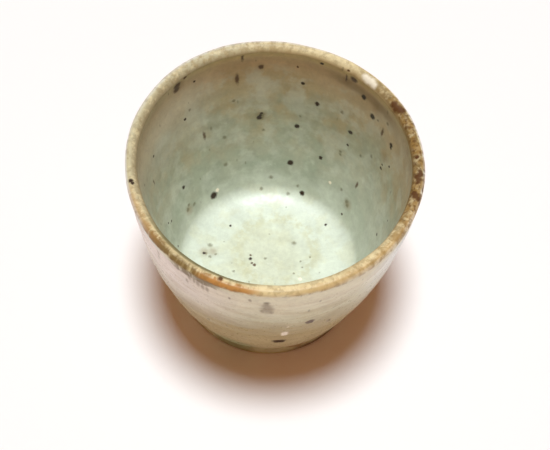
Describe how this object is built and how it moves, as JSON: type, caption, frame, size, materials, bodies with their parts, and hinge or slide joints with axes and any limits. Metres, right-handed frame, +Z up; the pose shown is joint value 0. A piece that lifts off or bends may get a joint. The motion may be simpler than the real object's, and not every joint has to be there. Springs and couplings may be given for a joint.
{
  "type": "soba choko cup",
  "caption": "Small flared stoneware cup with a milky celadon glaze, an iron-brown lip and a low turned foot, for dipping sauce, tea or small dishes.",
  "frame": {"origin": "on the ground under the middle of the foot ring", "axes": "+Z up along the cup's turning axis, -Y towards the picture's camera, +X to the picture's right"},
  "size_m": [0.0788, 0.0812, 0.062],
  "materials": {
    "clay": "fired buff stoneware, matte",
    "foot_clay": "bare fired stoneware, toasted, matte",
    "outer_glaze": "cream ash glaze, glossy",
    "lip_glaze": "thin iron-stained glaze, satin",
    "inner_glaze": "milky celadon glaze with iron specks, glossy"
  },
  "bodies": {
    "root": {"clay_body": "clay", "foot_ring": "foot_clay", "outer_glaze": "outer_glaze", "lip_glaze": "lip_glaze", "inner_glaze": "inner_glaze"}
  },
  "joints": []
}
